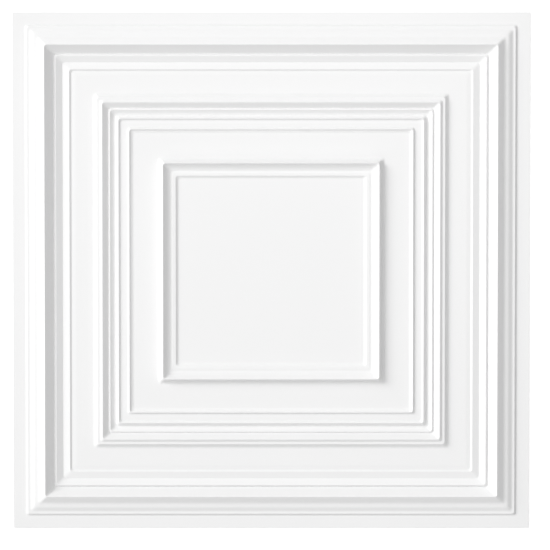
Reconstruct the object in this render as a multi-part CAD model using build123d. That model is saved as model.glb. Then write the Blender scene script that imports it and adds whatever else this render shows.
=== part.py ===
from build123d import *
from math import radians, tan
import os

# A lay-in ceiling tile of formed plastic sheet, lying flat with its room face up.
# The flat trimmed flange rests on the floor at z = 0 and the origin is at its middle.
# Every moulding runs round the tile as a square frame with mitred corners.
# A run is how far a slope goes inwards, a level is how high its inner end stands above the flange.

# The sheet
tile_width = 603.0           # trimmed size, for a 610 mm ceiling grid
sheet_thickness = 1.0        # measured upright, so the steep walls draw thinner

# Bends where two slopes of the section meet
arris_radius = 0.5           # crisp edges and valleys
toe_radius = 1.5             # foot of a low wall
foot_radius = 4.5            # soft foot of a wall that stands on a flat land
ogee_radius = 8.0            # double curve of the edge moulding and the end of its dip
cove_radius = 6.0            # hollows of the groove and inside the panel rim
bend_share = 0.45            # most of a slope that one of its bends may take up

# Levels of the flat lands
outer_field_level = 1.3
inner_field_level = 2.9
panel_level = 3.1

# Edge moulding: flange, quirk, ogee, steep fall, lip, a shallow cove and a slight dip beside it
flange_run = 14.8
quirk_wall_run = 2.2
quirk_wall_top = 2.3
quirk_land_run = 3.0
quirk_land_level = 2.2
ogee_foot_run = 4.7
ogee_foot_top = 4.7
ogee_waist_run = 5.2
ogee_waist_top = 5.1
ogee_shoulder_run = 7.8
crest_level = 12.2
fall_run = 10.7
fall_foot_level = 0.7
lip_run = 2.2
lip_level = 3.6
cove_fall_run = 7.8
cove_floor_level = 0.3
cove_rise_run = 7.9
cove_top_level = 2.4
cove_edge_run = 2.3
dip_level = 0.9
dip_run = 5.0

outer_field_run = 22.0

# Middle moulding: a step, a crown, a steep fall, a ledge, a groove, a bead, a channel and a fillet
step_wall_run = 3.2
step_land_run = 3.0
step_level = 5.7
crown_wall_run = 2.4
crown_edge_level = 7.6
crown_run = 0.8
crown_level = 7.8
crown_fall_run = 6.9
crown_foot_level = 1.7
ledge_run = 1.6
ledge_level = 4.1
groove_fall_run = 4.5
groove_side_level = 0.8
groove_floor_run = 2.2
groove_floor_level = 0.6
bead_rise_run = 3.3
bead_level = 5.2
bead_fall_run = 2.3
channel_run = 8.2
fillet_rise_run = 2.1
fillet_level = 5.7
fillet_fall_run = 1.6
fillet_shoulder_level = 3.6
fillet_foot_run = 3.0

inner_field_run = 30.6

# Raised rim of the centre panel: a steep wall, a crest, a hollow fall and a low bead inside it
rim_wall_run = 3.4
rim_edge_level = 10.6
rim_run = 0.9
rim_level = 11.4
rim_fall_run = 2.6
rim_shoulder_level = 7.9
rim_hollow_run = 3.0
rim_hollow_level = 5.6
rim_cove_run = 3.5
rim_cove_level = 4.5
panel_bead_run = 2.4
panel_bead_land_run = 3.1
panel_bead_level = 5.1
panel_edge_run = 2.7

# Each slope of the section: its run, the level it reaches and the bend at its inner end
edge_moulding = [
    (flange_run, 0.0, toe_radius),
    (quirk_wall_run, quirk_wall_top, arris_radius),
    (quirk_land_run, quirk_land_level, ogee_radius),
    (ogee_foot_run, ogee_foot_top, ogee_radius),
    (ogee_waist_run, ogee_waist_top, ogee_radius),
    (ogee_shoulder_run, crest_level, arris_radius),
    (fall_run, fall_foot_level, arris_radius),
    (lip_run, lip_level, arris_radius),
    (cove_fall_run, cove_floor_level, arris_radius),
    (cove_rise_run, cove_top_level, arris_radius),
    (cove_edge_run, dip_level, arris_radius),
    (dip_run, outer_field_level, ogee_radius),
]
outer_field = [(outer_field_run, outer_field_level, foot_radius)]
middle_moulding = [
    (step_wall_run, step_level, arris_radius),
    (step_land_run, step_level, arris_radius),
    (crown_wall_run, crown_edge_level, arris_radius),
    (crown_run, crown_level, arris_radius),
    (crown_fall_run, crown_foot_level, arris_radius),
    (ledge_run, ledge_level, arris_radius),
    (groove_fall_run, groove_side_level, cove_radius),
    (groove_floor_run, groove_floor_level, arris_radius),
    (bead_rise_run, bead_level, arris_radius),
    (bead_fall_run, inner_field_level, arris_radius),
    (channel_run, inner_field_level, arris_radius),
    (fillet_rise_run, fillet_level, arris_radius),
    (fillet_fall_run, fillet_shoulder_level, foot_radius),
    (fillet_foot_run, inner_field_level, foot_radius),
]
inner_field = [(inner_field_run, inner_field_level, foot_radius)]
panel_rim = [
    (rim_wall_run, rim_edge_level, arris_radius),
    (rim_run, rim_level, arris_radius),
    (rim_fall_run, rim_shoulder_level, cove_radius),
    (rim_hollow_run, rim_hollow_level, cove_radius),
    (rim_cove_run, rim_cove_level, cove_radius),
    (panel_bead_run, panel_bead_level, arris_radius),
    (panel_bead_land_run, panel_bead_level, arris_radius),
    (panel_edge_run, panel_level, foot_radius),
]
slopes = edge_moulding + outer_field + middle_moulding + inner_field + panel_rim


def section_corners():
    # Corners of the back face, from the trimmed edge in to the middle of the panel
    reach = tile_width / 2
    corners = [Vector(reach, 0, 0)]
    for run, level, radius in slopes:
        reach -= run
        corners.append(Vector(reach, 0, level))
    corners.append(Vector(0, 0, panel_level))
    return corners


def bend(before, corner, after, radius):
    # Radius at one corner, held to the slopes beside it
    arriving = corner - before
    leaving = after - corner
    half_turn = radians(arriving.get_angle(leaving)) / 2
    room = bend_share * min(arriving.length, leaving.length)
    return min(radius, room / tan(half_turn))


def sheet_section():
    # Half of the sheet's section: its back line, its front line, the trimmed edge and the middle
    corners = section_corners()
    radii = [radius for run, level, radius in slopes]
    bends = [bend(*spot) for spot in zip(corners, corners[1:], corners[2:], radii)]
    back = FilletPolyline(*corners, radius=bends)
    front = Pos(0, 0, sheet_thickness) * back
    trimmed_edge = Line(back @ 0, front @ 0)
    middle = Line(back @ 1, front @ 1)
    return make_face([*back.edges(), *front.edges(), trimmed_edge, middle])


def mitred_side():
    # One side of the tile: the section run along it, cut to a 45 degree mitre at both ends
    half = tile_width / 2
    run = extrude(sheet_section(), amount=half, dir=(0, 1, 0), both=True)
    corner_lines = Polyline((0, 0), (half, -half), (half, half), close=True)
    height = run.bounding_box().size.Z
    mitre = extrude(make_face(corner_lines), amount=height)
    return run & mitre


def ceiling_tile():
    # Four mitred sides, formed as one sheet
    side = mitred_side()
    sides = [Rot(0, 0, 90 * quarter) * side for quarter in range(4)]
    return sides[0].fuse(*sides[1:]).clean()


os.makedirs("parts", exist_ok=True)
export_step(ceiling_tile(), "parts/ceiling_tile.step")
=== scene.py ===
import bpy
import math
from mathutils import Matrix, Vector


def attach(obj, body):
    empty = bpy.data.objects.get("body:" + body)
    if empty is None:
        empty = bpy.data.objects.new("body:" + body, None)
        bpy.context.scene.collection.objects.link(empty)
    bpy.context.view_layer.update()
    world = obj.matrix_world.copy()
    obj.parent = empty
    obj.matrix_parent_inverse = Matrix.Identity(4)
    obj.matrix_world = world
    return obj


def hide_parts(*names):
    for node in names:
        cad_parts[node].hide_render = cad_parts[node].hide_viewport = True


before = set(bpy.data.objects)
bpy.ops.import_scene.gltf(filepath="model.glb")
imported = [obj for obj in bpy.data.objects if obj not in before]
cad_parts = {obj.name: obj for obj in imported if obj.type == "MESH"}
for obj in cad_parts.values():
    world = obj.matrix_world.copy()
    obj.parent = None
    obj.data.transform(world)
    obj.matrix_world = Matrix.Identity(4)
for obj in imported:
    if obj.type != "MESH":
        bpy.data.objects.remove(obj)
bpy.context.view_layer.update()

mm = 0.001


def note(stage):
    print("ceiling tile:", stage)


# helpers for the node trees of the tile and its finish

def addNode(tree, kind, inputs=None, **settings):
    node = tree.nodes.new(kind)
    for name, value in settings.items():
        setattr(node, name, value)
    for key, value in (inputs or {}).items():
        if isinstance(value, bpy.types.NodeSocket):
            tree.links.new(value, node.inputs[key])
        else:
            node.inputs[key].default_value = value
    return node


def mathOut(tree, operation, *values):
    return addNode(tree, "ShaderNodeMath", dict(enumerate(values)), operation=operation).outputs[0]


def vectorOut(tree, operation, *values):
    return addNode(tree, "ShaderNodeVectorMath", dict(enumerate(values)), operation=operation).outputs[0]


def scaledOut(tree, vector, factor):
    return addNode(tree, "ShaderNodeVectorMath", {0: vector, "Scale": factor}, operation="SCALE").outputs[0]


# the formed sheet, in mm; each slope of its section, from the trimmed edge in to the panel,
# has its run inward, the level it reaches above the flange and the bend at its inner end

formedTile = {
    "width": 603.0,
    "sheet": 1.0,             # measured upright
    "bends": {"arris": 0.5, "toe": 1.5, "foot": 4.5, "ogee": 8.0, "cove": 6.0},   # radii
    "cutEdge": 0.12,          # softened edges of the trimmed cut
    "bendShare": 0.45,        # most of a slope that one bend may take up
    "bendPoints": 5,
    "panelInset": 9.0,        # the flat panel starts a little inside its last bend
    "corner": 3.0,            # plan radius of the moulding lines at a mitre
    "cornerPoints": 4,
    "mergeWithin": 0.001,
    "edgeMoulding": [
        (14.8, 0.0, "toe"),       # flange
        (2.2, 2.3, "arris"), (3.0, 2.2, "ogee"),                            # quirk
        (4.7, 4.7, "ogee"), (5.2, 5.1, "ogee"), (7.8, 12.2, "arris"),       # ogee up to the crest
        (10.7, 0.7, "arris"), (2.2, 3.6, "arris"),                          # steep fall and lip
        (7.8, 0.3, "arris"), (7.9, 2.4, "arris"),                           # shallow cove
        (2.3, 0.9, "arris"), (5.0, 1.3, "ogee"),                            # slight dip
    ],
    "outerField": [(22.0, 1.3, "foot")],
    "middleMoulding": [
        (3.2, 5.7, "arris"), (3.0, 5.7, "arris"),                           # step
        (2.4, 7.6, "arris"), (0.8, 7.8, "arris"), (6.9, 1.7, "arris"),      # crown and its fall
        (1.6, 4.1, "arris"), (4.5, 0.8, "cove"), (2.2, 0.6, "arris"),       # ledge and groove
        (3.3, 5.2, "arris"), (2.3, 2.9, "arris"),                           # bead
        (8.2, 2.9, "arris"),                                                # channel
        (2.1, 5.7, "arris"), (1.6, 3.6, "foot"), (3.0, 2.9, "foot"),        # fillet
    ],
    "innerField": [(30.6, 2.9, "foot")],
    "panelRim": [
        (3.4, 10.6, "arris"), (0.9, 11.4, "arris"),                         # wall and crest
        (2.6, 7.9, "cove"), (3.0, 5.6, "cove"), (3.5, 4.5, "cove"),         # hollow fall
        (2.4, 5.1, "arris"), (3.1, 5.1, "arris"), (2.7, 3.1, "foot"),       # low bead
    ],
}


def bendRadius(tile, before, corner, after, wanted):
    arriving = corner - before
    leaving = after - corner
    room = tile["bendShare"] * min(arriving.length, leaving.length)
    return min(wanted, room / math.tan(arriving.angle(leaving) / 2))


def sectionMesh(tile):
    reach = tile["width"] / 2
    back = [Vector((reach, 0, 0))]
    wanted = []
    order = ("edgeMoulding", "outerField", "middleMoulding", "innerField", "panelRim")
    for run, level, bend in [slope for name in order for slope in tile[name]]:
        reach -= run
        back.append(Vector((reach, 0, level)))
        wanted.append(tile["bends"][bend])
    back.append(Vector((reach - tile["panelInset"], 0, level)))
    bends = [bendRadius(tile, *back[i:i + 3], radius) for i, radius in enumerate(wanted)]
    lift = Vector((0, 0, tile["sheet"]))
    front = [point + lift for point in back]
    chain = back[::-1] + front                     # out along the back, round the cut, in over the front
    radii = [0] + bends[::-1] + [tile["cutEdge"]] * 2 + bends + [0]
    mesh = bpy.data.meshes.new("tileSection")
    mesh.from_pydata([point * mm for point in chain], [(i, i + 1) for i in range(len(chain) - 1)], [])
    bendHere = mesh.attributes.new("bend", "FLOAT", "POINT")
    bendHere.data.foreach_set("value", [radius * mm for radius in radii])
    return mesh


def formedTileTree():
    tree = bpy.data.node_groups.new("formedTile", "GeometryNodeTree")
    for name, kind in (
        ("Section", "Geometry"), ("Bend Points", "Int"), ("Half Width", "Float"), ("Corner Radius", "Float"),
        ("Corner Points", "Int"), ("Merge Within", "Float"), ("Finish", "Material"),
    ):
        tree.interface.new_socket(name, in_out="INPUT", socket_type="NodeSocket" + kind)
    tree.interface.new_socket("Tile", in_out="OUTPUT", socket_type="NodeSocketGeometry")
    given = addNode(tree, "NodeGroupInput").outputs
    place = addNode(tree, "GeometryNodeInputPosition").outputs[0]

    # the section line, bent to its radii
    line = addNode(tree, "GeometryNodeMeshToCurve", {"Mesh": given["Section"]}).outputs[0]
    bendHere = addNode(tree, "GeometryNodeInputNamedAttribute", {"Name": "bend"}, data_type="FLOAT").outputs[0]
    bent = addNode(tree, "GeometryNodeFilletCurve", {
        "Curve": line, "Count": given["Bend Points"], "Radius": bendHere, "Limit Radius": False,
    }, mode="POLY").outputs[0]
    keepSection = addNode(tree, "GeometryNodeCaptureAttribute", {"Geometry": bent}, domain="POINT")
    keepSection.capture_items.new("VECTOR", "reachLevel")
    tree.links.new(place, keepSection.inputs[1])

    # a square ring two units wide, its corners rounded by half a unit
    square = addNode(tree, "GeometryNodeCurvePrimitiveQuadrilateral", {"Width": 2.0, "Height": 2.0}).outputs[0]
    ring = addNode(tree, "GeometryNodeFilletCurve", {
        "Curve": square, "Count": given["Corner Points"], "Radius": 0.5, "Limit Radius": True,
    }, mode="POLY").outputs[0]
    keepRing = addNode(tree, "GeometryNodeCaptureAttribute", {"Geometry": ring}, domain="POINT")
    keepRing.capture_items.new("VECTOR", "ringPlace")
    tree.links.new(place, keepRing.inputs[1])
    ringPlace = keepRing.outputs[1]

    # one ring for each point of the section, with the quarter and the corner bow of each ring point
    loft = addNode(tree, "GeometryNodeCurveToMesh", {
        "Curve": keepSection.outputs[0], "Profile Curve": keepRing.outputs[0], "Fill Caps": True,
    }).outputs[0]
    quarter = vectorOut(tree, "SIGN", ringPlace)
    bow = vectorOut(tree, "SUBTRACT", vectorOut(tree, "MULTIPLY", ringPlace, (2, 2, 0)), quarter)

    # every point put at its own reach and level, with the corner radius running out at the cut edge
    reachLevel = addNode(tree, "ShaderNodeSeparateXYZ", {0: keepSection.outputs[1]}).outputs
    fromEdge = mathOut(tree, "SUBTRACT", given["Half Width"], reachLevel["X"])
    radius = mathOut(tree, "MINIMUM", given["Corner Radius"], mathOut(tree, "MAXIMUM", fromEdge, 0.0))
    core = mathOut(tree, "SUBTRACT", reachLevel["X"], radius)
    flat = vectorOut(tree, "ADD", scaledOut(tree, quarter, core), scaledOut(tree, bow, radius))
    flatXYZ = addNode(tree, "ShaderNodeSeparateXYZ", {0: flat}).outputs
    put = addNode(tree, "ShaderNodeCombineXYZ", {
        "X": flatXYZ["X"], "Y": flatXYZ["Y"], "Z": reachLevel["Z"],
    }).outputs[0]
    placed = addNode(tree, "GeometryNodeSetPosition", {"Geometry": loft, "Position": put}).outputs[0]
    merged = addNode(tree, "GeometryNodeMergeByDistance", {
        "Geometry": placed, "Distance": given["Merge Within"],
    }).outputs[0]
    smooth = addNode(tree, "GeometryNodeSetShadeSmooth", {"Geometry": merged}).outputs[0]
    real = addNode(tree, "GeometryNodeRealizeInstances", {"Geometry": smooth}).outputs[0]
    done = addNode(tree, "GeometryNodeSetMaterial", {"Geometry": real, "Material": given["Finish"]}).outputs[0]
    addNode(tree, "NodeGroupOutput", {0: done})
    return tree


def setInput(modifier, name, value):
    for item in modifier.node_group.interface.items_tree:
        if item.in_out == "INPUT" and item.name == name:
            modifier[item.identifier] = value


def plainMesh(maker, name):
    bpy.context.view_layer.update()
    seen = maker.evaluated_get(bpy.context.evaluated_depsgraph_get())
    mesh = bpy.data.meshes.new_from_object(seen)
    mesh.name = name
    maker.modifiers.clear()
    bpy.data.objects.remove(maker)
    piece = bpy.data.objects.new(name, mesh)
    bpy.context.collection.objects.link(piece)
    return piece


def makeTile(tile, finish):
    maker = bpy.data.objects.new("tileMaker", sectionMesh(tile))
    bpy.context.collection.objects.link(maker)
    form = maker.modifiers.new("form", "NODES")
    form.node_group = formedTileTree()
    setInput(form, "Bend Points", tile["bendPoints"])
    setInput(form, "Half Width", tile["width"] / 2 * mm)
    setInput(form, "Corner Radius", tile["corner"] * mm)
    setInput(form, "Corner Points", tile["cornerPoints"])
    setInput(form, "Merge Within", tile["mergeWithin"] * mm)
    setInput(form, "Finish", finish)
    even = maker.modifiers.new("even", "WEIGHTED_NORMAL")   # the broad faces set the shading, the bends follow
    even.weight = 100
    even.keep_sharp = True
    return plainMesh(maker, "formedCeilingTile")


# white sheet finish: a faint cloud in tone and gloss, and a fine grain

whiteSheet = {
    "colour": (0.87, 0.87, 0.87, 1),
    "colourLow": (0.857, 0.857, 0.857, 1),
    "roughness": (0.46, 0.56),
    "ior": 1.53,
    "cloud": {"Scale": 9.0, "Detail": 3.0},
    "grain": {"Scale": 900.0, "Detail": 2.0},
    "grainBump": {"Strength": 0.04, "Distance": 0.0003},
}


def whiteSheetFinish(look):
    finish = bpy.data.materials.new("whiteSheet")
    finish.use_nodes = True
    tree = finish.node_tree
    shader = tree.nodes["Principled BSDF"]
    shader.inputs["IOR"].default_value = look["ior"]
    place = addNode(tree, "ShaderNodeTexCoord").outputs["Object"]
    cloud = addNode(tree, "ShaderNodeTexNoise", {"Vector": place, **look["cloud"]}).outputs[0]
    tone = addNode(tree, "ShaderNodeMix", {
        0: cloud, 6: look["colourLow"], 7: look["colour"],      # share, and the two colours
    }, data_type="RGBA").outputs[2]
    tree.links.new(tone, shader.inputs["Base Color"])
    smoothest, roughest = look["roughness"]
    gloss = addNode(tree, "ShaderNodeMapRange", {
        "Value": cloud, "To Min": smoothest, "To Max": roughest,
    }).outputs[0]
    tree.links.new(gloss, shader.inputs["Roughness"])
    grain = addNode(tree, "ShaderNodeTexNoise", {"Vector": place, **look["grain"]}).outputs[0]
    bump = addNode(tree, "ShaderNodeBump", {"Height": grain, **look["grainBump"]}).outputs[0]
    tree.links.new(bump, shader.inputs["Normal"])
    return finish


note("forming the sheet")
sheetFinish = whiteSheetFinish(whiteSheet)
tile = makeTile(formedTile, sheetFinish)
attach(tile, "root")
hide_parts("ceiling_tile")


# pale floor

paleFloor = {
    "half": 6.0,              # m
    "below": 0.3,             # mm under the flange, so the two faces don't flicker
    "colour": (0.93, 0.93, 0.93, 1),
    "roughness": 0.9,
    "glow": 0.3,              # keeps it as white as a lit backdrop
}


def makeFloor(floor):
    half = floor["half"]
    low = -floor["below"] * mm
    corners = [(-half, -half, low), (half, -half, low), (half, half, low), (-half, half, low)]
    mesh = bpy.data.meshes.new("paleFloor")
    mesh.from_pydata(corners, [], [(0, 1, 2, 3)])
    piece = bpy.data.objects.new("paleFloor", mesh)
    bpy.context.collection.objects.link(piece)
    finish = bpy.data.materials.new("paleFloor")
    finish.use_nodes = True
    shader = finish.node_tree.nodes["Principled BSDF"]
    shader.inputs["Base Color"].default_value = floor["colour"]
    shader.inputs["Roughness"].default_value = floor["roughness"]
    shader.inputs["Specular IOR Level"].default_value = 0.0
    shader.inputs["Emission Color"].default_value = (1, 1, 1, 1)
    shader.inputs["Emission Strength"].default_value = floor["glow"]
    mesh.materials.append(finish)


note("laying the floor")
makeFloor(paleFloor)


# two soft boxes on the left, a small one overhead near the top edge, and an even fill all round

studio = {
    "leftBox": {"from": (-1.4, 0.75, 1.0), "away": 14.0, "size": 8.2, "power": 1432.0},
    "lowBox": {"from": (-0.6, -1.1, 1.0), "away": 14.0, "size": 8.2, "power": 368.0},
    "overBox": {"from": (0.1, 0.22, 1.0), "away": 1.6, "size": 0.5, "power": 5.0},
    "fill": 0.382,
}


def makeSoftBox(name, look):
    toLight = Vector(look["from"]).normalized()
    lamp = bpy.data.lights.new(name, "AREA")
    lamp.shape = "DISK"
    lamp.size = look["size"]
    lamp.energy = look["power"]
    box = bpy.data.objects.new(name, lamp)
    box.location = toLight * look["away"]
    box.rotation_euler = (-toLight).to_track_quat("-Z", "Y").to_euler()
    box.visible_camera = False
    bpy.context.collection.objects.link(box)


def makeFill(level):
    world = bpy.data.worlds.new("studioFill")
    world.use_nodes = True
    tree = world.node_tree
    backdrop = tree.nodes["Background"]
    toCamera = addNode(tree, "ShaderNodeLightPath").outputs["Is Camera Ray"]     # plain white behind the floor
    tree.links.new(mathOut(tree, "MAXIMUM", toCamera, level), backdrop.inputs["Strength"])
    backdrop.inputs["Color"].default_value = (1, 1, 1, 1)
    bpy.context.scene.world = world


note("setting the lights")
for name in ("leftBox", "lowBox", "overBox"):
    makeSoftBox(name, studio[name])
makeFill(studio["fill"])


# camera almost straight above, a little towards the top edge

photoView = {
    "away": 4.5,                  # m
    "lean": 2.9,                  # degrees
    "frameWidth": 642.4,          # mm of floor across the picture
    "aim": (4.5, -4.9, 0.0),      # mm from the tile's middle
    "sensor": 36.0,
}


def makeCamera(look):
    lens = bpy.data.cameras.new("photoView")
    lens.sensor_width = look["sensor"]
    lens.lens = look["sensor"] * look["away"] / (look["frameWidth"] * mm)
    camera = bpy.data.objects.new("photoView", lens)
    lean = math.radians(look["lean"])
    aim = Vector(look["aim"]) * mm
    camera.location = aim + Vector((0, math.sin(lean), math.cos(lean))) * look["away"]
    camera.rotation_euler = (-lean, 0, 0)
    bpy.context.collection.objects.link(camera)
    bpy.context.scene.camera = camera


note("placing the camera")
makeCamera(photoView)
bpy.context.scene.view_settings.view_transform = "Standard"

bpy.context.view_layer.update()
note("done")
